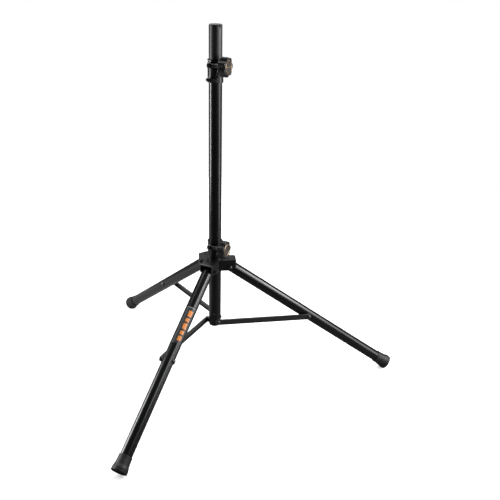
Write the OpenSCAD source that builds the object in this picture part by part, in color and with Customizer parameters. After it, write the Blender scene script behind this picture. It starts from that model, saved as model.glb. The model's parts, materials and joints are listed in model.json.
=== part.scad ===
// Speaker tripod stand: a clamped telescopic pole on a sliding-hub tripod.
// Frame: origin on the floor under the column's axis, +Z up, leg 1 along +X. Millimetres.

/* [Column] */
// Outer diameter of the main tube and of the pole's spigot
tube_od = 35; // [34:0.5:36]
// Wall thickness of the steel tubes
tube_wall = 1.5; // [1.2:0.1:2]
// Height of the main tube's lower end
tube_z0 = 197; // [194:1:200]
// Height of the main tube's upper end
tube_z1 = 908; // [904:1:911]
// Radial play of every running fit
play = 0.05; // [0.03:0.01:0.08]

/* [Pole] */
// Outer diameter of the sliding inner pole
pole_od = 30; // [29:0.5:30.5]
// Height of the pole's top when it is fully lowered
pole_top = 1029; // [1025:1:1060]
// Height of the pole's lower end when it is fully lowered
pole_z0 = 236; // [232:1:260]
// Visible length of the spigot sleeve
sleeve_len = 85; // [70:1:90]

/* [Legs] */
// Outer diameter of a leg tube
leg_od = 32; // [30:0.5:32]
// Length from the hub pivot to the foot's end face
leg_len = 599; // [585:1:610]
// Angle of a spread leg below the horizontal
leg_tilt = 35.1; // [34.5:0.1:35.5]
// Distance of the leg pivots from the column's axis
pivot_r = 42; // [42:0.5:44]
// Length of leg tube behind its pivot
leg_tail = 8; // [6:0.5:8]
// Largest radius of a foot
foot_r = 21.5; // [20:0.5:22]
// Edge radius of a foot
foot_round = 1.5; // [1:0.1:2]
// Length of a foot
foot_len = 43; // [38:1:48]

/* [Struts] */
// Distance of the strut screw along the leg from its pivot
strut_at = 286.5; // [284:0.5:290]
// Distance of the lower strut pivot from the column's axis, along the leg's azimuth
base_pivot_r = 8; // [7:0.5:9]
// Height of the lower strut pivots
base_pivot_z = 187.5; // [186:0.5:189]
// Height of the strut's pressed channel
strut_h = 16; // [14:1:17]
// Depth of the strut's pressed channel
strut_t = 6; // [5:0.5:7]
// Sheet thickness of the strut
strut_sheet = 1.6; // [1.2:0.1:2]
// Sideways distance of the strut's inner face from the leg's middle plane
strut_side = 18.2; // [18.2:0.1:18.6]

/* [Hub] */
// Radius of the hub's barrel
barrel_r = 21.8; // [21.4:0.1:22]
// Drop of the hub's underside below the leg pivots
hub_drop = 9.5; // [9:0.5:11]
// Rise of an arm's flat top above the leg pivots
arm_top = 22.5; // [22:0.5:23.5]
// Reach of an arm beyond its pivot
arm_reach = 18.5; // [18:0.1:19]
// Clear half width between an arm's cheeks
arm_gap = 16.4; // [16.3:0.1:16.6]
// Thickness of a cheek
cheek_t = 3; // [2.6:0.1:3.4]

/* [Clamps] */
// Height of the hub clamp's bolt above the leg pivots
hub_clamp_dz = 66; // [63:0.5:68]
// Height of the upper clamp's bolt
top_clamp_z = 929.5; // [927:0.5:930]
// Height of the fixing screw of the upper collar
fix_z = 892; // [890:1:894]
// Outer radius of both clamp collars
collar_r = 20.6; // [20.4:0.1:21]
// Azimuth of the side on which the collars are split
clamp_az = -120; // [-125:1:-115]
// Distance of a clamp bolt's axis from the column's axis
bolt_off = 28; // [27.5:0.5:29]
// Middle of the slit, measured along the clamp bolt
slit_mid = 3; // [2:0.5:3.5]
// Diameter of a clamp bolt
bolt_d = 8; // [7:0.5:8]

/* [Knobs] */
// Overall diameter of a knob
knob_d = 52; // [48:1:54]
// Distance of a knob's rear face along the clamp bolt
knob_s0 = 26; // [25.5:0.5:28]
// Length of a knob with its rear hub
knob_len = 25; // [22:1:26]
// Number of lobes round a knob
lobes = 7; // [5:1:8]
// Radius of the trim ring on a knob's face
ring_r = 18.5; // [17:0.5:19]

/* [Hidden] */
$fn = 96;
gap = 0.2;
tube_id = tube_od - 2 * tube_wall;
pole_id = pole_od - 2 * tube_wall;
leg_id = leg_od - 2 * tube_wall;
pivot_z = leg_len * sin(leg_tilt) + (foot_r - foot_round) * cos(leg_tilt)
    + foot_round * (1 - sin(leg_tilt));
hub_clamp_z = pivot_z + hub_clamp_dz;
lip_rise = 12;
lip_t = 1.6;
lip_r = 21.4;
collar_z0 = 883;
bush_z0 = 868;
bush_flange = 2;
neck_z0 = pivot_z + 24;
pivot_bolt_d = 6;
pivot_boss = 1.2;
arm_face = arm_gap + cheek_t + pivot_boss;
barrel_nut_d = 8;
strut_out = strut_side + strut_t;
strut_rise = pivot_z - strut_at * sin(leg_tilt) - base_pivot_z;
strut_run = pivot_r + strut_at * cos(leg_tilt) - base_pivot_r;
strut_len = norm([strut_run, strut_rise]);
strut_slope = atan2(strut_rise, strut_run);
base_z0 = 171;
base_round = 6;
base_spigot = 28;
boss_y0 = 8;
rivet_z = 211;
rivet_az = 20;
rivet_r = 1.6;
strut_pin_r = 4;
strut_screw_r = 3;
screw_gap = 0.05;
slit_w = 2;
ear_l = slit_mid - 10;
ear_r = slit_mid + 12;
ear_l_r = 8;
ear_r_r = 5.5;
neck_r = 18.8;
neck_h = 5;
fix_off = 25;
fix_screw_r = 2.5;
fix_lug_r = 6;
bolt_end = knob_s0 + 18;
sleeve_z0 = pole_top - sleeve_len;
glide_h = 24;
glide_floor = 5;
insert_r = 7;
insert_len = 19;
knob_back = 4;
knob_back_r = 11;
knob_rim = 3;
knob_dish = 1.4;
lobe_r = 7.5;
ring_w = 4.5;
ring_t = 1.5;
notch_az = -55;
notch_w = 4;
sleeve_rivet_up = 20;
sleeve_rivet_r = 2;
glide_screw_r = 3;
boss_r = 7.5;
arm_back = 12;
arm_round = 6;
arm_plan_round = 6;
cheek_foot = 3;
cheek_toe = 2;
roof_t = 3;
pocket = [10, 8, 1.3];
room_r = norm([leg_tail, leg_od / 2]) + 0.5;
barrel_skirt = 1.5;
groove_t = 1.2;
groove_y1 = foot_len - 8;
groove_y0 = groove_y1 - 1.6;
foot_dish_r = 15;
foot_dish = 2.5;

// ---- Helpers ----

module tube(od, id, h) difference() {
    cylinder(d = od, h = h);
    translate([0, 0, -1]) cylinder(d = id, h = h + 2);
}

// A cylinder along Y from y0 to y1
module y_bar(r, y0, y1, sides = 64)
    translate([0, y1, 0]) rotate([90, 0, 0]) cylinder(r = r, h = y1 - y0, $fn = sides);

// A cylinder along X from x0 to x1
module x_bar(r, x0, x1)
    translate([x0, 0, 0]) rotate([0, 90, 0]) cylinder(r = r, h = x1 - x0);

// Low domed fastener head: its flat is at y = 0 and its crown points along -Y
module domed_head(r, h) rotate([90, 0, 0]) rotate_extrude() {
    difference() {
        translate([0, h - (r * r + h * h) / (2 * h)]) circle(r = (r * r + h * h) / (2 * h));
        translate([-4 * r, -8 * r]) square([4 * r, 16 * r]);
        translate([-4 * r, -8 * r]) square([8 * r, 8 * r]);
    }
}

// The leg's azimuth, at the column's axis
module at_leg(i) rotate([0, 0, 120 * (i - 1)]) children();

// The spread leg's own frame: origin at its pivot, +X down along the tube, +Y to its left
module on_leg(i) at_leg(i)
    translate([pivot_r, 0, pivot_z]) rotate([0, leg_tilt, 0]) children();

// The strut's own frame: origin at its lower pivot, +X along the strut
module on_strut(i) at_leg(i)
    translate([base_pivot_r, 0, base_pivot_z]) rotate([0, -strut_slope, 0]) children();

// A bracket rivet's frame: +X outwards through the tube's wall
module at_rivet(i) at_leg(i) rotate([0, 0, rivet_az]) translate([0, 0, rivet_z]) children();

// The clamp's frame: +X through the slit, +Y along the clamp bolt towards the knob
module at_clamp(z) translate([0, 0, z]) rotate([0, 0, clamp_az]) children();

// The clamp bolt's own axis, as +Y
module on_bolt(z) at_clamp(z) translate([bolt_off, 0, 0]) children();

// ---- Column ----

module main_tube() color("#202124") difference() {
    translate([0, 0, tube_z0]) tube(tube_od, tube_id, tube_z1 - tube_z0);
    for (i = [1:3]) at_rivet(i) x_bar(rivet_r, 10, 25);
}

module base_bracket() color("#1b1c1e") difference() {
    union() {
        rotate_extrude() {
            translate([0, base_z0]) square([tube_od / 2 - base_round, tube_z0 - base_z0]);
            translate([0, base_z0 + base_round])
                square([tube_od / 2, tube_z0 - base_z0 - base_round]);
            translate([tube_od / 2 - base_round, base_z0 + base_round]) circle(base_round);
            translate([0, tube_z0 - 1]) square([tube_id / 2 - play, base_spigot + 1]);
        }
        for (i = [1:3]) at_leg(i) translate([base_pivot_r, 0, base_pivot_z])
            y_bar(strut_h / 2, -strut_side + gap, -boss_y0);
    }
    for (i = [1:3]) {
        at_leg(i) translate([base_pivot_r, 0, base_pivot_z])
            y_bar(strut_pin_r + play, -30, -boss_y0 + 1);
        at_rivet(i) x_bar(rivet_r, 8, 25);
    }
    translate([0, 0, tube_z0 + 4]) cylinder(r = 9, h = base_spigot);
}

module bracket_rivets() color("#2a2b2d") for (i = [1:3]) at_rivet(i) {
    x_bar(rivet_r - screw_gap, 10, tube_od / 2 + 0.5);
    translate([tube_od / 2 + screw_gap, 0, 0]) rotate([0, 0, 90]) domed_head(3, 1.2);
}

module strut_pivot_screws() color("#35363a") for (i = [1:3])
    at_leg(i) translate([base_pivot_r, 0, base_pivot_z]) {
        y_bar(strut_pin_r, -strut_out - gap - 0.5, -boss_y0);
        translate([0, -strut_out - gap, 0]) domed_head(6.5, 3.2);
    }

module tube_guide_bush() color("#2c2d30") difference() {
    union() {
        translate([0, 0, bush_z0]) cylinder(r = tube_id / 2 - play, h = tube_z1 - bush_z0 + 1);
        translate([0, 0, tube_z1]) cylinder(r = tube_od / 2 - 0.4, h = bush_flange);
    }
    cylinder(r = pole_od / 2 + play, h = 1000);
}

// ---- Split clamp collars ----

// One ear pair at a height, with webs back to the collar's wall
module clamp_ears(left_r, right_r) {
    translate([bolt_off, 0, 0]) {
        y_bar(left_r, ear_l, slit_mid);
        y_bar(right_r, slit_mid, ear_r);
    }
    translate([0, ear_l, -left_r + 1])
        cube([bolt_off, slit_mid - ear_l, 2 * left_r - 2]);
    translate([0, slit_mid, -right_r + 1])
        cube([bolt_off, ear_r - slit_mid, 2 * right_r - 2]);
}

// The slit between a clamp's ears, open at the top
module slit() translate([0, slit_mid - slit_w / 2, 0]) cube([40, slit_w, 80]);

// A collar's wall up to its lip, necked in just below the lip
module collar_wall(z0, top) {
    translate([0, 0, z0]) cylinder(r = collar_r, h = top - lip_t - neck_h - z0);
    translate([0, 0, z0 + 1]) cylinder(r = neck_r, h = top - z0 - 2);
    translate([0, 0, top - lip_t]) cylinder(r = lip_r, h = lip_t);
}

// Shallow grip flutes round the neck, either side of the slit
module neck_flutes(h) for (a = [-70:20:70]) if (abs(a) > 10)
    rotate([0, 0, a + 6]) translate([collar_r + 0.6, 0, -h / 2]) cylinder(r = 1.5, h = h, $fn = 32);

module upper_collar() color("#141517") difference() {
    union() {
        collar_wall(collar_z0, top_clamp_z + lip_rise);
        at_clamp(top_clamp_z) clamp_ears(ear_l_r, ear_r_r);
        at_clamp(fix_z) {
            translate([fix_off, 0, 0]) y_bar(fix_lug_r, -9, -1);
            translate([0, -9, 1 - fix_lug_r]) cube([fix_off, 8, 2 * fix_lug_r - 2]);
            translate([0, 0, -4.5]) cube([fix_off + 4.5, 13, 9]);
        }
    }
    translate([0, 0, collar_z0 - 1])
        cylinder(r = tube_od / 2 + play, h = tube_z1 + bush_flange + play - collar_z0 + 1);
    cylinder(r = pole_od / 2 + play, h = 1000);
    at_clamp(collar_z0 - 1) translate([0, -1, 0]) cube([40, 1, 200]);
    at_clamp(top_clamp_z - 12) slit();
    on_bolt(top_clamp_z) y_bar(bolt_d / 2 + 0.1, ear_l - 1, ear_r + 1);
    at_clamp(fix_z) translate([fix_off, 0, 0]) y_bar(fix_screw_r + 0.1, -10, 14);
    at_clamp((fix_z + top_clamp_z) / 2 - 1) neck_flutes(14);
}

module collar_fixing_screw() color("#3a3b3f") at_clamp(fix_z) translate([fix_off, 0, 0]) {
    y_bar(fix_screw_r, -12, 13.5);
    difference() {
        y_bar(4.3, 13.1, 17.5);
        y_bar(2.3, 15, 18, 6);
    }
}

module collar_fixing_nut() color("#3a3b3f") at_clamp(fix_z) translate([fix_off, 0, 0]) difference() {
    union() {
        y_bar(4.6, -12, -9.1, 6);
        translate([0, -12, 0]) domed_head(3.9, 3.6);
    }
    y_bar(fix_screw_r + screw_gap, -12.5, -9);
}

// Carriage bolt of a clamp: dome and square neck at the ear, shank through to the knob
module clamp_bolt(z) on_bolt(z) {
    translate([0, ear_l - 0.1, 0]) domed_head(7, 3.4);
    y_bar(bolt_d / 2, ear_l - 0.6, bolt_end);
}

module upper_clamp_bolt() color("#4a4b50") clamp_bolt(top_clamp_z);

module hub_clamp_bolt() color("#4a4b50") clamp_bolt(hub_clamp_z);

// ---- Knobs ----

module knob_washer(z) on_bolt(z) difference() {
    y_bar(6, ear_r + gap, knob_s0 - gap);
    y_bar(bolt_d / 2 + play, ear_r, knob_s0);
}

module knob_outline() {
    circle(r = knob_d / 2 - lobe_r + 2);
    for (k = [0:lobes - 1])
        rotate(360 / lobes * k) translate([knob_d / 2 - lobe_r, 0]) circle(r = lobe_r);
}

// Section of a knob's head with rounded rims, as a solid of revolution about its bolt
module knob_turning(h) rotate_extrude() {
    square([knob_d / 2 - knob_rim, h]);
    translate([0, knob_rim]) square([knob_d / 2 + 0.5, h - 2 * knob_rim]);
    translate([knob_d / 2 - knob_rim, knob_rim]) circle(r = knob_rim);
    translate([knob_d / 2 - knob_rim, h - knob_rim]) circle(r = knob_rim);
}

// A knob's own frame: origin at its rear face, +Z out along the bolt
module on_knob(z) on_bolt(z) translate([0, knob_s0, 0]) rotate([-90, 0, 0]) children();

module knob_body(z) on_knob(z) difference() {
    union() {
        cylinder(r = knob_back_r, h = knob_back + 2);
        translate([0, 0, knob_back]) intersection() {
            linear_extrude(knob_len - knob_back) knob_outline();
            knob_turning(knob_len - knob_back);
        }
    }
    translate([0, 0, -1]) cylinder(r = insert_r + play, h = insert_len + 1);
    translate([0, 0, knob_len - knob_dish]) cylinder(r = ring_r + 0.1, h = knob_dish + 1);
}

module knob_insert(z) on_knob(z) difference() {
    cylinder(r = insert_r, h = insert_len);
    translate([0, 0, -1]) cylinder(r = bolt_d / 2 + play, h = insert_len + 2);
}

// Flat band with a rounded bead, on the floor of the knob's dish
module knob_ring(z) on_knob(z) translate([0, 0, knob_len - knob_dish + 0.1]) rotate_extrude() {
    translate([ring_r - ring_w, 0]) square([ring_w, ring_t]);
    intersection() {
        translate([ring_r - ring_w / 2, 0.6]) circle(r = 1.9);
        square([ring_r + 1, 3]);
    }
}

module knob_disc(z) on_knob(z) translate([0, 0, knob_len - knob_dish + 0.1])
    cylinder(r = ring_r - ring_w - 0.1, h = 1);

module upper_knob_washer() color("#55565a") knob_washer(top_clamp_z);
module upper_knob() color("#1d1e21") knob_body(top_clamp_z);
module upper_knob_insert() color("#8c7a45") knob_insert(top_clamp_z);
module upper_knob_ring() color("#b39a6b") knob_ring(top_clamp_z);
module upper_knob_disc() color("#6f6a70") knob_disc(top_clamp_z);
module hub_knob_washer() color("#55565a") knob_washer(hub_clamp_z);
module hub_knob() color("#1d1e21") knob_body(hub_clamp_z);
module hub_knob_insert() color("#8c7a45") knob_insert(hub_clamp_z);
module hub_knob_ring() color("#b39a6b") knob_ring(hub_clamp_z);
module hub_knob_disc() color("#666d62") knob_disc(hub_clamp_z);

// ---- Pole ----

module pole_glide() color("#2c2d30") difference() {
    translate([0, 0, pole_z0]) cylinder(r = tube_id / 2 - play, h = glide_h);
    translate([0, 0, pole_z0 + glide_floor]) cylinder(r = pole_od / 2 + play, h = glide_h);
    translate([0, 0, pole_z0 - 1]) cylinder(r = glide_screw_r + play, h = glide_h);
    translate([0, 0, pole_z0 - 1]) cylinder(r = 5.5, h = 4.5);
}

module glide_screw() color("#8f9092") {
    translate([0, 0, pole_z0 + 0.3]) cylinder(r = 5, h = 3);
    translate([0, 0, pole_z0 + 3]) cylinder(r = glide_screw_r, h = 16);
}

module pole_end_plug() color("#1b1c1e") translate([0, 0, pole_z0 + glide_floor + gap])
    difference() {
        cylinder(r = pole_id / 2 - play, h = 18);
        translate([0, 0, -1]) cylinder(r = glide_screw_r + play, h = 20);
    }

// The sleeve rivet's frame: +X outwards through both tube walls, away from leg 1
module at_sleeve_rivet() translate([0, 0, sleeve_z0 + sleeve_rivet_up])
    rotate([0, 0, 180]) children();

// Keyway in the rim of the spigot
module notch() rotate([0, 0, notch_az]) translate([14, -notch_w / 2, pole_top - 7])
    cube([20, notch_w, 10]);

module inner_pole() color("#26272a") difference() {
    translate([0, 0, pole_z0 + glide_floor + gap])
        tube(pole_od, pole_id, pole_top - pole_z0 - glide_floor - 3);
    at_sleeve_rivet() x_bar(sleeve_rivet_r + screw_gap, 8, 25);
}

module spigot_sleeve() color("#26272a") difference() {
    translate([0, 0, sleeve_z0]) tube(tube_od, pole_od + 2 * play, sleeve_len - 2.2);
    at_sleeve_rivet() x_bar(sleeve_rivet_r + screw_gap, 8, 25);
    notch();
}

module sleeve_rivet() color("#2a2b2d") at_sleeve_rivet()
    x_bar(sleeve_rivet_r, 11, tube_od / 2 - 0.3);

module pole_cap() color("#101113") difference() {
    rotate_extrude() {
        translate([0, pole_top - 2]) square([tube_od / 2 - 2, 2]);
        translate([0, pole_top - 2]) square([tube_od / 2 - 0.6, 1]);
        translate([tube_od / 2 - 1.6, pole_top - 1]) circle(r = 1);
        translate([0, pole_top - 18]) square([pole_id / 2 - play, 17]);
    }
    translate([0, 0, pole_top - 20]) cylinder(r = 11, h = 16);
    notch();
}

// ---- Hub ----

// Side outline of an arm about its pivot: x outwards, y up
module arm_outline() polygon(concat(
    [[arm_back - pivot_r, arm_top], [arm_back - pivot_r, -hub_drop],
        [cheek_foot, -hub_drop], [arm_reach, cheek_toe]],
    [for (a = [0:10:90]) [arm_reach - arm_round * (1 - cos(a)), arm_top - arm_round * (1 - sin(a))]]));

// Plan of an arm, with its two outer corners rounded
module arm_plan() {
    half_w = arm_gap + cheek_t;
    nose = arm_reach - arm_plan_round;
    translate([arm_back - pivot_r, -half_w]) square([nose + pivot_r - arm_back, 2 * half_w]);
    translate([0, arm_plan_round - half_w]) square([arm_reach, 2 * (half_w - arm_plan_round)]);
    for (s = [-1, 1]) translate([nose, s * (half_w - arm_plan_round)]) circle(r = arm_plan_round);
}

// An arm is an open channel over the leg's end: two cheeks under a thin roof
module arm() difference() {
    union() {
        intersection() {
            rotate([90, 0, 0]) translate([0, 0, -30]) linear_extrude(60) arm_outline();
            translate([0, 0, -30]) linear_extrude(60) arm_plan();
        }
        y_bar(boss_r, -arm_face, arm_face);
    }
    translate([-room_r, -arm_gap, -60]) cube([2 * room_r + 10, 2 * arm_gap, 60 + arm_top - roof_t]);
    y_bar(pivot_bolt_d / 2 + 0.02, -30, 30);
    for (s = [-1, 1]) translate([-13, s * 8.5 - pocket.y / 2, arm_top - pocket.z])
        cube([pocket.x, pocket.y, 5]);
}

module hub_housing() color("#17181a") difference() {
    union() {
        translate([0, 0, pivot_z - hub_drop - barrel_skirt])
            cylinder(r = barrel_r, h = neck_z0 - pivot_z + hub_drop + barrel_skirt);
        for (i = [1:3]) at_leg(i) translate([pivot_r, 0, pivot_z]) arm();
        collar_wall(neck_z0 - 1, hub_clamp_z + lip_rise);
        at_clamp(hub_clamp_z) clamp_ears(ear_l_r, ear_r_r);
    }
    cylinder(r = tube_od / 2 + play, h = 1000);
    at_clamp(neck_z0 + 8) slit();
    on_bolt(hub_clamp_z) y_bar(bolt_d / 2 + 0.1, ear_l - 1, ear_r + 1);
    at_clamp(neck_z0 + 18) neck_flutes(14);
}

module leg_pivot_bolts() color("#5a5b5f") for (i = [1:3])
    at_leg(i) translate([pivot_r, 0, pivot_z]) {
        y_bar(pivot_bolt_d / 2, -arm_face - 0.5, arm_gap + cheek_t + 8);
        difference() {
            translate([0, -arm_face - screw_gap, 0]) domed_head(5.4, 3);
            y_bar(2, -arm_face - 4, -arm_face - 1.6, 6);
        }
    }

module leg_pivot_nuts() color("#5a5b5f") for (i = [1:3])
    at_leg(i) translate([pivot_r, 0, pivot_z]) difference() {
        y_bar(5.8, arm_face + screw_gap, arm_face + 5, 6);
        y_bar(pivot_bolt_d / 2 + play, arm_gap, arm_gap + cheek_t + 9);
    }

// ---- Legs ----

module leg_tube(i) color("#202124") on_leg(i) difference() {
    x_bar(leg_od / 2, -leg_tail, leg_len - 5);
    x_bar(leg_id / 2, -leg_tail - 1, leg_len);
    y_bar(pivot_bolt_d / 2 + play, -30, 30);
    translate([strut_at, 0, 0]) y_bar(barrel_nut_d / 2 + play, -30, 30);
}

module leg_plug(i) color("#1b1c1e") on_leg(i) difference() {
    x_bar(leg_id / 2 - play, -leg_tail + gap, 22);
    y_bar(pivot_bolt_d / 2 + play, -30, 30);
}

// Foot section: radius to the right, length from the foot's mouth upwards
module foot_section() polygon(concat(
    [[leg_od / 2 + play, 0], [leg_od / 2 + 2, 0], [leg_od / 2 + 2, 9], [leg_od / 2 + 3, 24]],
    [[foot_r, groove_y0], [foot_r - groove_t, groove_y0], [foot_r - groove_t, groove_y1],
        [foot_r, groove_y1]],
    [for (a = [0:5:90]) [foot_r - foot_round * (1 - cos(a)), foot_len - foot_round * (1 - sin(a))]],
    [[foot_dish_r, foot_len], [foot_dish_r, foot_len - foot_dish], [0, foot_len - foot_dish]],
    [[0, foot_len - 5], [leg_od / 2 + play, foot_len - 5]]));

module leg_foot(i) color("#121314") on_leg(i) translate([leg_len - foot_len, 0, 0])
    rotate([0, 90, 0]) rotate_extrude() foot_section();

module leg_barrel_nut(i) color("#5a5b5f") on_leg(i) translate([strut_at, 0, 0]) {
    y_bar(barrel_nut_d / 2, -leg_od / 2 + 0.3, leg_od / 2 + 1.8);
    translate([0, leg_od / 2 + 1.5, 0]) mirror([0, 1, 0]) domed_head(6.5, 3);
}

// Saddle washers seat the fastener on the round tube, one either side
module leg_saddle(i) color("#1b1c1e") on_leg(i) difference() {
    translate([strut_at, 0, 0]) {
        y_bar(7.5, leg_od / 2 - 2.5, leg_od / 2 + 1.4);
        y_bar(7.5, -strut_side + 0.4, -leg_od / 2 + 2.5);
    }
    x_bar(leg_od / 2 + play, strut_at - 20, strut_at + 20);
    translate([strut_at, 0, 0]) y_bar(barrel_nut_d / 2 + play, -30, 30);
}

// ---- Struts ----

// Stadium outline from the lower pivot to the upper one
module stadium(r) {
    circle(r = r);
    translate([strut_len, 0]) circle(r = r);
    translate([0, -r]) square([strut_len, 2 * r]);
}

module strut(i) color("#242528") on_strut(i) difference() {
    translate([0, -strut_side, 0]) rotate([90, 0, 0]) linear_extrude(strut_t)
        stadium(strut_h / 2);
    translate([0, -strut_side + 1, 0]) rotate([90, 0, 0])
        linear_extrude(strut_t - strut_sheet + 1) stadium(strut_h / 2 - strut_sheet);
    y_bar(strut_pin_r + play, -strut_out - 1, -strut_side);
    translate([strut_len, 0, 0]) y_bar(strut_screw_r + play, -strut_out - 1, -strut_side);
}

module strut_screw(i) color("#5a5b5f") on_strut(i) translate([strut_len, 0, 0]) {
    y_bar(strut_screw_r, -strut_out - 0.5, -strut_side - 0.1);
    translate([0, -strut_out - screw_gap, 0]) domed_head(6, 3);
}

main_tube();
base_bracket();
bracket_rivets();
strut_pivot_screws();
tube_guide_bush();
upper_collar();
collar_fixing_screw();
collar_fixing_nut();
upper_clamp_bolt();
upper_knob_washer();
upper_knob();
upper_knob_insert();
upper_knob_ring();
upper_knob_disc();
pole_glide();
glide_screw();
pole_end_plug();
inner_pole();
spigot_sleeve();
sleeve_rivet();
pole_cap();
hub_housing();
hub_clamp_bolt();
leg_pivot_bolts();
leg_pivot_nuts();
hub_knob_washer();
hub_knob();
hub_knob_insert();
hub_knob_ring();
hub_knob_disc();
leg_tube(1);  // leg_1_tube
leg_plug(1);  // leg_1_plug
leg_foot(1);  // leg_1_foot
leg_barrel_nut(1);  // leg_1_barrel_nut
leg_saddle(1);  // leg_1_saddle
leg_tube(2);  // leg_2_tube
leg_plug(2);  // leg_2_plug
leg_foot(2);  // leg_2_foot
leg_barrel_nut(2);  // leg_2_barrel_nut
leg_saddle(2);  // leg_2_saddle
leg_tube(3);  // leg_3_tube
leg_plug(3);  // leg_3_plug
leg_foot(3);  // leg_3_foot
leg_barrel_nut(3);  // leg_3_barrel_nut
leg_saddle(3);  // leg_3_saddle
strut(1);  // strut_1
strut_screw(1);  // strut_1_screw
strut(2);  // strut_2
strut_screw(2);  // strut_2_screw
strut(3);  // strut_3
strut_screw(3);  // strut_3_screw
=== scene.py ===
import json
import math

import bmesh
import bpy
import numpy as np
from mathutils import Matrix, Vector


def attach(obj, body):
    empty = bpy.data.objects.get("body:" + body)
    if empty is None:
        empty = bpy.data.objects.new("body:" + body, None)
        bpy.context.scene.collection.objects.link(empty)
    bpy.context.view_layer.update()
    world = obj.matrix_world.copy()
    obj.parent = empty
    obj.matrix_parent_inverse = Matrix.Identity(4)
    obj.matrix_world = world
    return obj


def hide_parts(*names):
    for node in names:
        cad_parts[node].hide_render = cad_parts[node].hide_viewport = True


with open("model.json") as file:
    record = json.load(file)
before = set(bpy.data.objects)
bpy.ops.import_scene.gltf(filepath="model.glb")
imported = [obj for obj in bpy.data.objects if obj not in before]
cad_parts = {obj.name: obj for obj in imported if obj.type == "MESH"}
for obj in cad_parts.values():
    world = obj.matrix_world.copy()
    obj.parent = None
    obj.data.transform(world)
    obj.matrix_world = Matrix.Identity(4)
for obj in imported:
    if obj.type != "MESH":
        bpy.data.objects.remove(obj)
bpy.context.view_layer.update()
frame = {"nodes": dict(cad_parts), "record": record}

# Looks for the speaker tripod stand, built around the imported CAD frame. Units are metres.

MM = 0.001
NODES = frame["nodes"]
LEGS = (1, 2, 3)
KNOBS = {"upper": "upper_knob", "hub": "hub_knob"}
Z_UP = Vector((0, 0, 1))


# ---- Camera ----

CAMERA_PLACE = (-0.1330, -2.0197, 1.2657)
CAMERA_HEADING = 6.579  # degrees clockwise from +Y
CAMERA_PITCH = 22.917  # degrees below the horizon
CAMERA_ROLL = 1.239
CAMERA_LENS = 55.68


def make_camera():
    camera = bpy.data.objects.new("camera", bpy.data.cameras.new("camera"))
    bpy.context.scene.collection.objects.link(camera)
    camera.data.lens = CAMERA_LENS
    turn = Matrix.Rotation(-math.radians(CAMERA_HEADING), 4, "Z")
    tilt = Matrix.Rotation(math.radians(90 - CAMERA_PITCH), 4, "X")
    roll = Matrix.Rotation(math.radians(CAMERA_ROLL), 4, "Z")
    camera.matrix_world = Matrix.Translation(CAMERA_PLACE) @ turn @ tilt @ roll
    bpy.context.scene.camera = camera


# ---- Materials ----


class Paint:
    """A node material under construction: a Principled shader and the helpers that feed it."""

    def __init__(self, name, base, roughness, metallic=0.0, specular=0.5):
        self.material = bpy.data.materials.new(name)
        self.material.use_nodes = True
        self.tree = self.material.node_tree
        self.shader = self.tree.nodes["Principled BSDF"]
        self.base = base
        self.shader.inputs["Base Color"].default_value = (*base, 1)
        self.shader.inputs["Roughness"].default_value = roughness
        self.shader.inputs["Metallic"].default_value = metallic
        self.shader.inputs["Specular IOR Level"].default_value = specular
        self.place = self.tree.nodes.new("ShaderNodeTexCoord").outputs["Object"]
        self.relief = None

    def link(self, out, to):
        self.tree.links.new(out, to)

    def stretched(self, scale):
        mapping = self.tree.nodes.new("ShaderNodeMapping")
        mapping.inputs["Scale"].default_value = scale
        self.link(self.place, mapping.inputs["Vector"])
        return mapping.outputs["Vector"]

    def noise(self, scale, detail=3.0, rough=0.5, stretch=None):
        node = self.tree.nodes.new("ShaderNodeTexNoise")
        node.inputs["Scale"].default_value = scale
        node.inputs["Detail"].default_value = detail
        node.inputs["Roughness"].default_value = rough
        vector = self.stretched(stretch) if stretch else self.place
        self.link(vector, node.inputs["Vector"])
        return node.outputs["Fac"]

    def cells(self, scale):
        node = self.tree.nodes.new("ShaderNodeTexVoronoi")
        node.inputs["Scale"].default_value = scale
        self.link(self.place, node.inputs["Vector"])
        return node.outputs["Distance"]

    def remap(self, value, low, high, to_low, to_high):
        node = self.tree.nodes.new("ShaderNodeMapRange")
        for key, number in (("From Min", low), ("From Max", high),
                            ("To Min", to_low), ("To Max", to_high)):
            node.inputs[key].default_value = number
        self.link(value, node.inputs["Value"])
        return node.outputs["Result"]

    def math(self, how, a, b):
        node = self.tree.nodes.new("ShaderNodeMath")
        node.operation = how
        for socket, value in zip(node.inputs, (a, b)):
            if isinstance(value, (int, float)):
                socket.default_value = value
            else:
                self.link(value, socket)
        return node.outputs["Value"]

    def roughness(self, value):
        self.link(value, self.shader.inputs["Roughness"])

    def mix_colour(self, mask, other):
        """Blends the colour so far towards another one where the mask is 1."""
        node = self.tree.nodes.new("ShaderNodeMix")
        node.data_type = "RGBA"
        colour = node.inputs[6]
        source = self.shader.inputs["Base Color"]
        if source.is_linked:
            self.link(source.links[0].from_socket, colour)
        else:
            colour.default_value = (*self.base, 1)
        node.inputs[7].default_value = (*other, 1)
        self.link(mask, node.inputs[0])
        self.link(node.outputs[2], source)

    def bump(self, height, strength, distance):
        node = self.tree.nodes.new("ShaderNodeBump")
        node.inputs["Strength"].default_value = strength
        node.inputs["Distance"].default_value = distance
        self.link(height, node.inputs["Height"])
        if self.relief is not None:
            self.link(self.relief, node.inputs["Normal"])
        self.relief = node.outputs["Normal"]
        self.link(self.relief, self.shader.inputs["Normal"])

    def edge_mask(self, radius, low, high):
        """About 1 where the surface turns within the radius, and 0 on open faces."""
        soft = self.tree.nodes.new("ShaderNodeBevel")
        soft.samples = 4
        soft.inputs["Radius"].default_value = radius
        true = self.tree.nodes.new("ShaderNodeNewGeometry")
        dot = self.tree.nodes.new("ShaderNodeVectorMath")
        dot.operation = "DOT_PRODUCT"
        self.link(soft.outputs["Normal"], dot.inputs[0])
        self.link(true.outputs["Normal"], dot.inputs[1])
        return self.remap(dot.outputs["Value"], high, low, 0.0, 1.0)


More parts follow.
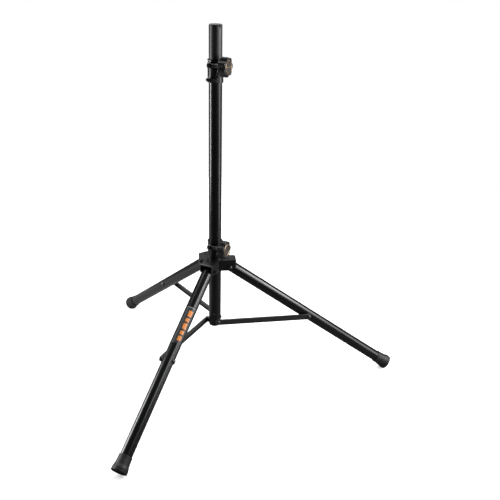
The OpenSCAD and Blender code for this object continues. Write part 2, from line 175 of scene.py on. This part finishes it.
def powder_coat(name, base, gloss, scuff):
    """Baked powder paint: fine orange peel, faint dust and short handling scuffs."""
    paint = Paint(name, base, gloss, specular=0.42)
    peel = paint.noise(2600, 2.0, 0.5)
    broad = paint.noise(9, 4.0, 0.6)
    dust = paint.noise(1100, 4.0, 0.6)
    scratches = paint.noise(60, 6.0, 0.75, stretch=(9.0, 9.0, 1.0))
    marks = paint.remap(scratches, 0.70, 0.80, 0.0, scuff)
    rough = paint.remap(broad, 0.3, 0.7, gloss - 0.012, gloss + 0.018)
    fine = paint.remap(dust, 0.35, 0.75, -0.006, 0.008)
    paint.roughness(paint.math("ADD", paint.math("ADD", rough, fine), marks))
    paint.mix_colour(paint.remap(dust, 0.66, 0.8, 0.0, 0.2), tuple(c * 1.8 for c in base))
    paint.mix_colour(marks, (0.05, 0.05, 0.052))
    paint.bump(peel, 0.05, 0.0001)
    return paint.material


def moulded(name, base, gloss, grain, wear):
    """Moulded nylon or rubber: spark-eroded grain, mottled gloss and edges rubbed smooth."""
    paint = Paint(name, base, gloss, specular=0.4)
    pits = paint.cells(grain)
    mottle = paint.noise(34, 5.0, 0.65)
    dust = paint.noise(420, 4.0, 0.7)
    edges = paint.edge_mask(0.0011, 0.80, 0.985)
    broken = paint.math("MULTIPLY", edges, paint.remap(mottle, 0.35, 0.65, 0.2, 1.0))
    worn = paint.math("MULTIPLY", broken, wear)
    rough = paint.remap(mottle, 0.3, 0.7, gloss - 0.06, gloss + 0.07)
    paint.roughness(paint.math("SUBTRACT", rough, paint.math("MULTIPLY", worn, 0.2)))
    paint.mix_colour(paint.remap(dust, 0.6, 0.85, 0.0, 0.4), tuple(c * 2.4 for c in base))
    paint.mix_colour(worn, tuple(min(1.0, c * 3.5) for c in base))
    paint.bump(pits, 0.16, 0.0002)
    paint.bump(dust, 0.08, 0.0001)
    return paint.material


def plated(name, base, gloss, metallic, streak):
    """Turned or plated metal: fine circular machining marks and a little tarnish."""
    paint = Paint(name, base, gloss, metallic=metallic)
    lathe = paint.noise(900, 2.0, 0.5, stretch=streak)
    tarnish = paint.noise(120, 5.0, 0.65)
    paint.roughness(paint.remap(tarnish, 0.3, 0.75, gloss - 0.06, gloss + 0.14))
    paint.mix_colour(paint.remap(tarnish, 0.5, 0.85, 0.0, 0.5), tuple(c * 0.55 for c in base))
    paint.bump(lathe, 0.12, 0.00008)
    return paint.material


def printed(name, base):
    """Screen-printed ink: slightly raised, with pinholes and thin spots."""
    paint = Paint(name, base, 0.42)
    ink = paint.noise(700, 4.0, 0.7)
    paint.roughness(paint.remap(ink, 0.3, 0.7, 0.36, 0.52))
    paint.mix_colour(paint.remap(ink, 0.58, 0.8, 0.0, 0.45), tuple(c * 0.45 for c in base))
    paint.bump(ink, 0.1, 0.00005)
    return paint.material


def make_materials():
    return {
        "black_powder_coat": powder_coat("black_powder_coat", (0.0045, 0.0047, 0.0053), 0.26, 0.05),
        "satin_powder_coat": powder_coat("satin_powder_coat", (0.010, 0.0103, 0.0108), 0.43, 0.08),
        "strut_powder_coat": powder_coat("strut_powder_coat", (0.030, 0.030, 0.032), 0.34, 0.10),
        "moulded_nylon": moulded("moulded_nylon", (0.009, 0.009, 0.010), 0.30, 1500, 0.5),
        "knob_plastic": moulded("knob_plastic", (0.013, 0.013, 0.015), 0.34, 1300, 0.6),
        "bronze_trim": plated("bronze_trim", (0.23, 0.18, 0.115), 0.36, 0.9, (1, 1, 1)),
        "badge_plastic": plated("badge_plastic", (0.040, 0.032, 0.034), 0.40, 0.0, (1, 1, 1)),
        "brass": plated("brass", (0.74, 0.56, 0.28), 0.25, 1.0, (1, 1, 1)),
        "black_zinc_steel": plated("black_zinc_steel", (0.085, 0.085, 0.092), 0.3, 0.85, (1, 1, 6)),
        "glide_nylon": moulded("glide_nylon", (0.02, 0.02, 0.021), 0.45, 1100, 0.2),
        "foot_rubber": moulded("foot_rubber", (0.013, 0.013, 0.013), 0.52, 900, 0.35),
        "label_film": printed("label_film", (0.022, 0.026, 0.031)),
        "orange_print": printed("orange_print", (0.82, 0.27, 0.05)),
        "grey_print": printed("grey_print", (0.36, 0.37, 0.39)),
    }


# ---- Mesh helpers ----

BODIES = frame["record"]["behaviour"]["bodies"]
BODY_OF = {node: body for body, nodes in BODIES.items() for node in nodes}
SLOT_OF = {row["node"]: row["material_slot"] for row in frame["record"]["subparts"]}
LOOK_OF = {"inner_pole": "satin_powder_coat", "spigot_sleeve": "satin_powder_coat"}
SHARP_ANGLE = 32  # degrees between two faces, above which their edge is shaded sharp
EASE_ANGLE = 38  # degrees between two faces, above which their edge is rounded


def new_piece(name, built, body, slot, look=None, replaced=()):
    """Makes an object from a bmesh, shades it and attaches it to its body. A look is a material other
    than the slot's own."""
    mesh = bpy.data.meshes.new(name)
    bmesh.ops.recalc_face_normals(built, faces=built.faces)
    built.to_mesh(mesh)
    built.free()
    mesh.shade_smooth()
    mesh.set_sharp_from_angle(angle=math.radians(SHARP_ANGLE))
    mesh.materials.append(MATERIALS[look or slot])
    piece = bpy.data.objects.new(name, mesh)
    bpy.context.scene.collection.objects.link(piece)
    weigh = piece.modifiers.new("flat faces stay flat", "WEIGHTED_NORMAL")
    weigh.keep_sharp = True
    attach(piece, body)
    if replaced:
        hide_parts(*replaced)


def redraw(node, built):
    """A new piece that stands for one CAD node."""
    new_piece(node + "_drawn", built, BODY_OF[node], SLOT_OF[node], LOOK_OF.get(node), (node,))


def long_axis(node):
    """The two ends and the outer radius of a straight tube, from its faces. Round walls face across the
    axis, so it is the direction that the faces point along least, and the cut ends centre it."""
    mesh = NODES[node].data
    areas = np.array([face.area for face in mesh.polygons])
    normals = np.array([face.normal for face in mesh.polygons])
    centres = np.array([face.center for face in mesh.polygons])
    direction = np.linalg.eigh((normals * areas[:, None]).T @ normals)[1][:, 0]
    if direction[2] > 0:
        direction = -direction
    ends = []
    for side in (-1, 1):
        cap = side * normals @ direction > 0.999
        ends.append(Vector(np.average(centres[cap], axis=0, weights=areas[cap])))
    points = np.array([vertex.co for vertex in mesh.vertices]) - np.array(ends[0])
    across = points - np.outer(points @ direction, direction)
    return ends[0], ends[1], float(np.linalg.norm(across, axis=1).max())


def reach(node, origin, axis):
    """How far a node reaches along an axis: lowest, highest and its radius about the axis."""
    points = np.array([vertex.co for vertex in NODES[node].data.vertices]) - np.array(origin)
    along = points @ np.array(axis)
    across = points - np.outer(along, np.array(axis))
    return float(along.min()), float(along.max()), float(np.linalg.norm(across, axis=1).max())


def joint(name):
    row = next(j for j in frame["record"]["behaviour"]["joints"] if j["name"] == name)
    return Vector(row["pos_m"]), Vector(row["axis"]).normalized()


def cross_axes(axis):
    """Two directions across an axis, the second as near to up as it can be."""
    guide = Vector((1, 0, 0)) if abs(axis.z) > 0.9 else Z_UP
    side = guide.cross(axis).normalized()
    return side, axis.cross(side).normalized()


def lathe(origin, axis, profile, segments, ripple=None):
    """Closed solid of revolution. The profile is a closed loop of (along, radius) points, and
    ripple(angle, along, radius) may change a radius."""
    built = bmesh.new()
    axis = axis.normalized()
    side, up = cross_axes(axis)
    rings = []
    for along, radius in profile:
        centre = origin + axis * along
        if radius < 1e-6:
            rings.append([built.verts.new(centre)])
            continue
        ring = []
        for k in range(segments):
            angle = math.tau * k / segments
            r = ripple(angle, along, radius) if ripple else radius
            ring.append(built.verts.new(centre + (side * math.cos(angle) + up * math.sin(angle)) * r))
        rings.append(ring)
    for i, ring in enumerate(rings):
        after = rings[(i + 1) % len(rings)]
        if len(ring) == 1 and len(after) == 1:
            continue
        for k in range(segments):
            j = k + 1
            corners = [ring[k % len(ring)], ring[j % len(ring)],
                       after[j % len(after)], after[k % len(after)]]
            built.faces.new(list(dict.fromkeys(corners)))
    return built


def filleted(corners, steps=4):
    """Rounds the corners of a closed outline. Each corner is (along, radius, fillet)."""
    points = []
    count = len(corners)
    for i, (x, y, fillet) in enumerate(corners):
        here = Vector((x, y))
        before = Vector(corners[i - 1][:2]) - here
        after = Vector(corners[(i + 1) % count][:2]) - here
        if fillet <= 0:
            points.append((x, y))
            continue
        turn = before.angle(after)
        reach_back = min(fillet / math.tan(turn / 2), 0.49 * before.length, 0.49 * after.length)
        a = here + before.normalized() * reach_back
        b = here + after.normalized() * reach_back
        for step in range(steps + 1):
            t = step / steps
            p = a * (1 - t) ** 2 + here * 2 * t * (1 - t) + b * t ** 2
            points.append((p.x, p.y))
    return points


def ease_node(node, width):
    """Redraws a CAD node from its own shape, with a small round on every sharp edge."""
    built = bmesh.new()
    built.from_mesh(NODES[node].data)
    bmesh.ops.remove_doubles(built, verts=built.verts, dist=1e-6)
    bmesh.ops.dissolve_limit(built, angle_limit=math.radians(0.5),
                             verts=built.verts, edges=built.edges)
    edges = [edge for edge in built.edges
             if len(edge.link_faces) == 2 and edge.calc_face_angle(0) > math.radians(EASE_ANGLE)]
    bmesh.ops.bevel(built, geom=edges, offset=width, offset_type="OFFSET", segments=2,
                    profile=0.5, affect="EDGES", clamp_overlap=True)
    redraw(node, built)


# ---- Tubes ----

TUBE_WALL = 1.5 * MM


def tube_outline(length, radius, wall):
    ease = 0.3 * MM
    return filleted([(0, radius, ease), (length, radius, ease),
                     (length, radius - wall, ease), (0, radius - wall, ease)])


def make_tubes():
    for node in ["main_tube", "inner_pole"] + [f"leg_{i}_tube" for i in LEGS]:
        start, end, radius = long_axis(node)
        outline = tube_outline((end - start).length, radius, TUBE_WALL)
        redraw(node, lathe(start, end - start, outline, 128))


# ---- Moulded and pressed parts ----


def make_mouldings():
    for node in ("hub_housing", "upper_collar"):
        ease_node(node, 0.55 * MM)
    for node in ("base_bracket", "pole_cap", "spigot_sleeve"):
        ease_node(node, 0.35 * MM)
    for i in LEGS:
        ease_node(f"strut_{i}", 0.4 * MM)
        ease_node(f"leg_{i}_saddle", 0.3 * MM)


# ---- Knobs ----

KNOB_LOBES = 7
LOBE_R = 7.5 * MM
KNOB_VALLEY = 20.4 * MM
KNOB_BACK_R = 11 * MM
KNOB_BACK = 4 * MM
DISH = 1.2 * MM  # depth of the dish in a knob's face
RING_BAND = 4.5 * MM
RING_CROWN = 1.3 * MM
BAR_HALF = 0.62  # half the bar's straight length, as a share of the disc's radius
BAR_TALL = 0.13  # half its height, as the same share
BAR_RISE = 0.7 * MM
BAR_STEPS = 32


def knob_outline(angle, outer):
    """Distance from a knob's axis to its lobed side at an angle."""
    pitch = math.tau / KNOB_LOBES
    off = (angle + pitch / 2) % pitch - pitch / 2
    centre = outer - LOBE_R
    under = LOBE_R ** 2 - (centre * math.sin(off)) ** 2
    lobe = centre * math.cos(off) + math.sqrt(under) if under > 0 else 0
    soft = 1.2 * MM
    gap = max(soft - abs(lobe - KNOB_VALLEY), 0) / soft
    return max(lobe, KNOB_VALLEY) + gap * gap * soft / 4


def make_knob(kind):
    node = KNOBS[kind]
    origin, axis = joint(node + "_turn")
    low, high, outer = reach(node, origin, axis)
    _, ring_high, ring_r = reach(node + "_ring", origin, axis)
    dish_r = ring_r + 0.1 * MM
    grip = KNOB_VALLEY - 0.4 * MM

    def ripple(angle, along, radius):
        if radius <= grip:
            return radius
        share = (radius - grip) / (outer - grip)
        return grip + share * (knob_outline(angle, outer) - grip)

    profile = filleted([
        (low, 0, 0), (low, KNOB_BACK_R, 0.6 * MM), (low + KNOB_BACK, KNOB_BACK_R, 0.8 * MM),
        (low + KNOB_BACK, outer, 3 * MM), (high, outer, 2.6 * MM), (high, dish_r, 0.3 * MM),
        (high - DISH, dish_r, 0.2 * MM), (high - DISH, 0, 0)], steps=6)
    redraw(node, lathe(origin, axis, profile, 168, ripple))

    band = ring_r - RING_BAND
    bead = filleted([
        (high - DISH, band, 0.1 * MM), (high - DISH, ring_r, 0.1 * MM),
        (high, ring_r, 0.5 * MM), (ring_high, ring_r - RING_CROWN, 0.8 * MM),
        (ring_high, band + RING_CROWN, 0.8 * MM), (high + 0.1 * MM, band, 0.4 * MM)])
    redraw(node + "_ring", lathe(origin, axis, bead, 120))

    disc_r = band - 0.1 * MM
    face = high - 0.1 * MM
    turned = [(high - DISH, 0, 0), (high - DISH, disc_r, 0.1 * MM),
              (face, disc_r, 0.3 * MM), (face, disc_r - 1.2 * MM, 0.1 * MM),
              (face - 0.35 * MM, disc_r - 1.5 * MM, 0.1 * MM), (face - 0.3 * MM, 0, 0)]
    redraw(node + "_disc", lathe(origin, axis, filleted(turned), 96))
    knob_bar(node, origin + axis * (face - 0.4 * MM), axis, disc_r)


def knob_bar(node, centre, axis, disc_r):
    """A plain raised bar with round ends, level across the disc."""
    side, up = cross_axes(axis)
    built = bmesh.new()
    half = BAR_HALF * disc_r
    tall = BAR_TALL * disc_r
    rim = []
    for k in range(BAR_STEPS):
        angle = math.tau * (k + 0.5) / BAR_STEPS
        across = math.copysign(half, math.cos(angle)) + tall * math.cos(angle)
        rim.append(centre + side * across + up * tall * math.sin(angle))
    low = [built.verts.new(point) for point in rim]
    high = [built.verts.new(point + axis * BAR_RISE) for point in rim]
    built.faces.new(low)
    top = built.faces.new(high)
    for k in range(BAR_STEPS):
        j = (k + 1) % BAR_STEPS
        built.faces.new([low[k], low[j], high[j], high[k]])
    bmesh.ops.bevel(built, geom=list(top.edges), offset=0.25 * MM, segments=2,
                    profile=0.5, affect="EDGES")
    new_piece(node + "_bar", built, BODY_OF[node], "bronze_trim")


# ---- Feet ----

FOOT_SKIRT = 2 * MM
FOOT_BORE_PLAY = 0.05 * MM
FOOT_CUFF = 9 * MM  # length of the straight sleeve before the flare
FOOT_FLARE = 24 * MM
FOOT_FLARE_OUT = 3 * MM
FOOT_PAD = 5 * MM
GROOVE_UP = 8 * MM  # from the foot's end
GROOVE_W = 1.6 * MM
GROOVE_DEPTH = 1.2 * MM
DISH_R = 15 * MM  # of the dished end, with three ribs in it
DISH_DEPTH = 2.5 * MM
RIB = 0.7 * MM
RIB_INSET = 3.2
RIB_PITCH = 3.6


def make_foot(i):
    """Rubber foot: a thin sleeve that flares to a thick pad, with a grip groove and a dished end."""
    start, end, leg_r = long_axis(f"leg_{i}_tube")
    axis = (end - start).normalized()
    low, high, outer = reach(f"leg_{i}_foot", start, axis)
    bore = leg_r + FOOT_BORE_PLAY
    skirt = leg_r + FOOT_SKIRT
    groove = high - GROOVE_UP
    floor = high - DISH_DEPTH
    waist = outer - GROOVE_DEPTH
    ribs = []
    for k in range(3):
        r = DISH_R - (RIB_INSET + RIB_PITCH * k) * MM
        ribs += [(floor, r + RIB, 0.1 * MM), (floor + RIB, r + RIB / 2, 0.1 * MM),
                 (floor + RIB, r - RIB / 2, 0.1 * MM), (floor, r - RIB, 0.1 * MM)]
    profile = filleted([
        (low, bore, 0.3 * MM), (low, skirt, 0.7 * MM), (low + FOOT_CUFF, skirt, 4 * MM),
        (low + FOOT_FLARE, leg_r + FOOT_FLARE_OUT, 12 * MM), (groove - GROOVE_W, outer, 0.4 * MM),
        (groove - GROOVE_W, waist, 0.2 * MM), (groove, waist, 0.2 * MM),
        (groove, outer, 0.4 * MM), (high, outer, 2.2 * MM), (high, DISH_R, 0.5 * MM),
        (floor, DISH_R - 0.4 * MM, 0.4 * MM), *ribs, (floor, 0, 0),
        (high - FOOT_PAD, 0, 0), (high - FOOT_PAD, bore, 0.3 * MM)])
    redraw(f"leg_{i}_foot", lathe(start, axis, profile, 96))


# ---- Printed marks ----

# Spans are millimetres along the tube from its upper end, and arcs are degrees about it
LABEL_SPAN = (134, 246)
LABEL_ARC = (-52, 48)
LEG_BARS = ((146, 164), (169, 180), (185, 203), (208, 219), (224, 238))
LEG_BAR_ARC = (-30, 10)
STRIPE_SPAN = (136, 137.4)
STRIPE_ARC = (-46, 42)
COLUMN_BARS = ((176, 212), (220, 232), (240, 276))
COLUMN_BAR_ARC = (-4, 5)
COLUMN_BAR_SIDE = Vector((-0.75, -0.66, 0))
FILM = 0.1 * MM
LEG_INK = 0.08 * MM
COLUMN_INK = 0.03 * MM  # thin enough to pass through the hub's bore


def wrapped_patch(name, start, axis, radius, span, angles, zero, body, look, thick):
    """A thin printed patch on a round tube: from one distance to another along the axis, and between
    two angles about it, counted from the direction zero."""
    built = bmesh.new()
    axis = axis.normalized()
    zero = (zero - axis * zero.dot(axis)).normalized()
    other = axis.cross(zero)
    steps = max(4, int(abs(angles[1] - angles[0]) / 4))
    corner = 0.8 * MM
    grid = []
    for level in (radius - 0.05 * MM, radius + thick):
        for k in range(steps + 1):
            angle = math.radians(angles[0] + (angles[1] - angles[0]) * k / steps)
            out = zero * math.cos(angle) + other * math.sin(angle)
            inset = corner if k in (0, steps) else 0
            for distance in (span[0] * MM + inset, span[1] * MM - inset):
                grid.append(built.verts.new(start + axis * distance + out * level))
    ring = 2 * (steps + 1)
    for k in range(steps):
        a = 2 * k
        inner, outer = a, a + ring
        built.faces.new([grid[inner], grid[inner + 1], grid[inner + 3], grid[inner + 2]])
        built.faces.new([grid[outer], grid[outer + 2], grid[outer + 3], grid[outer + 1]])
        built.faces.new([grid[inner], grid[inner + 2], grid[outer + 2], grid[outer]])
        built.faces.new([grid[inner + 1], grid[outer + 1], grid[outer + 3], grid[inner + 3]])
    last = ring - 2
    built.faces.new([grid[0], grid[ring], grid[ring + 1], grid[1]])
    built.faces.new([grid[last], grid[last + 1], grid[last + ring + 1], grid[last + ring]])
    new_piece(name, built, body, "badge_plastic", look)


def make_marks():
    """Plain bars stand in for the lettering, on a dark film on leg 3 and straight on the column."""
    start, end, radius = long_axis("leg_3_tube")
    axis = (end - start).normalized()
    facing = Vector(CAMERA_PLACE) - start
    wrapped_patch("leg_3_label", start, axis, radius, LABEL_SPAN, LABEL_ARC,
                  facing, "leg_3", "label_film", FILM)
    for k, span in enumerate(LEG_BARS):
        wrapped_patch(f"leg_3_bar_{k + 1}", start, axis, radius + FILM, span, LEG_BAR_ARC,
                      facing, "leg_3", "orange_print", LEG_INK)
    wrapped_patch("leg_3_stripe", start, axis, radius + FILM, STRIPE_SPAN, STRIPE_ARC,
                  facing, "leg_3", "grey_print", LEG_INK)
    top, _, radius = long_axis("main_tube")
    for k, span in enumerate(COLUMN_BARS):
        wrapped_patch(f"column_bar_{k + 1}", top, -Z_UP, radius, span, COLUMN_BAR_ARC,
                      COLUMN_BAR_SIDE, "column", "grey_print", COLUMN_INK)


# ---- Lights and floor ----

FLOOR_HALF = 1.3
FLOOR_CENTRE = (0.3, 0.66, 0)
FLOOR_WHITE = (0.92, 0.92, 0.92)  # what the camera sees
FLOOR_GLOW = 0.5  # to the camera only
FLOOR_DIM = (0.14, 0.14, 0.14)  # what the stand reflects
FLOOR_PAINTED_LIGHT_BACK_LEFT = (0.34, 0.34, 0.34)  # a painted pool of light in what the stand reflects, behind and to the left of it
WORLD_DIM = 0.05  # the white world's strength as a light


def make_floor():
    """A pale sheet, larger than the stand, with the studio white beyond it. It is white to the camera
    and dim to reflections, so that the black finish keeps its depth, with a painted pool of light
    behind and to the left that only reflections see."""
    built = bmesh.new()
    bmesh.ops.create_grid(built, x_segments=1, y_segments=1, size=1)
    bmesh.ops.scale(built, vec=(FLOOR_HALF, FLOOR_HALF, 1), verts=built.verts)
    bmesh.ops.translate(built, vec=FLOOR_CENTRE, verts=built.verts)
    mesh = bpy.data.meshes.new("floor")
    built.to_mesh(mesh)
    built.free()
    floor = bpy.data.objects.new("floor", mesh)
    bpy.context.scene.collection.objects.link(floor)
    paper = Paint("pale_floor", FLOOR_WHITE, 0.9, specular=0.1)
    paper.shader.inputs["Emission Color"].default_value = (1, 1, 1, 1)
    seen = paper.tree.nodes.new("ShaderNodeLightPath").outputs["Is Camera Ray"]
    paper.link(paper.remap(seen, 0, 1, 0.0, FLOOR_GLOW), paper.shader.inputs["Emission Strength"])
    paper.base = FLOOR_DIM
    # A painted pool of light on the floor, behind and to the left of the stand, seen only in its
    # reflections
    painted_light_back_left = paper.tree.nodes.new("ShaderNodeVectorMath")
    painted_light_back_left.operation = "DOT_PRODUCT"
    painted_light_back_left.inputs[1].default_value = (-0.7, 0.7, 0)
    paper.link(paper.place, painted_light_back_left.inputs[0])
    paper.mix_colour(paper.remap(painted_light_back_left.outputs["Value"], 0.15, 0.35, 0, 1), FLOOR_PAINTED_LIGHT_BACK_LEFT)
    paper.mix_colour(seen, FLOOR_WHITE)
    paper.bump(paper.noise(400, 3.0), 0.02, 0.0002)
    mesh.materials.append(paper.material)


def make_world():
    """White to look at, and dim as a light, so that the black finish keeps its depth."""
    world = bpy.data.worlds.new("studio")
    world.use_nodes = True
    tree = world.node_tree
    background = tree.nodes["Background"]
    background.inputs["Color"].default_value = (1, 1, 1, 1)
    path = tree.nodes.new("ShaderNodeLightPath")
    strength = tree.nodes.new("ShaderNodeMapRange")
    strength.inputs["To Min"].default_value = WORLD_DIM
    strength.inputs["To Max"].default_value = 1.0
    tree.links.new(path.outputs["Is Camera Ray"], strength.inputs["Value"])
    tree.links.new(strength.outputs["Result"], background.inputs["Strength"])
    bpy.context.scene.world = world


def softbox(name, place, target, size, radiance):
    """A rectangular soft light of a given radiance, aimed at a point and unseen by the camera."""
    light = bpy.data.lights.new(name, "AREA")
    light.shape = "RECTANGLE"
    light.size, light.size_y = size
    light.energy = radiance * math.pi * size[0] * size[1]
    lamp = bpy.data.objects.new(name, light)
    bpy.context.scene.collection.objects.link(lamp)
    aim = Vector(target) - Vector(place)
    turn = aim.to_track_quat("-Z", "Y").to_matrix().to_4x4()
    lamp.matrix_world = Matrix.Translation(place) @ turn
    lamp.visible_camera = False


def make_lights():
    softbox("left_strip", (-1.2, 0.12, 0.62), (0, 0, 0.62), (0.3, 0.84), 19)
    softbox("right_box", (1.21, -0.27, 0.62), (0, 0, 0.5), (0.54, 1.2), 4.8)
    softbox("right_high", (1.2, -0.2, 1.0), (0, 0, 0.3), (0.8, 0.3), 15)
    softbox("front_high", (0.84, -0.8, 0.93), (0, 0, 0.3), (0.5, 0.3), 9)
    softbox("ceiling", (0, 1.25, 2.3), (0, 0.45, 0), (3.0, 2.2), 3.2)


make_camera()
MATERIALS = make_materials()
for node, slot in SLOT_OF.items():
    NODES[node].data.materials.clear()
    NODES[node].data.materials.append(MATERIALS[slot])
make_tubes()
make_mouldings()
for kind in KNOBS:
    make_knob(kind)
for i in LEGS:
    make_foot(i)
make_marks()
make_floor()
make_world()
make_lights()
bpy.context.scene.view_settings.view_transform = "Standard"
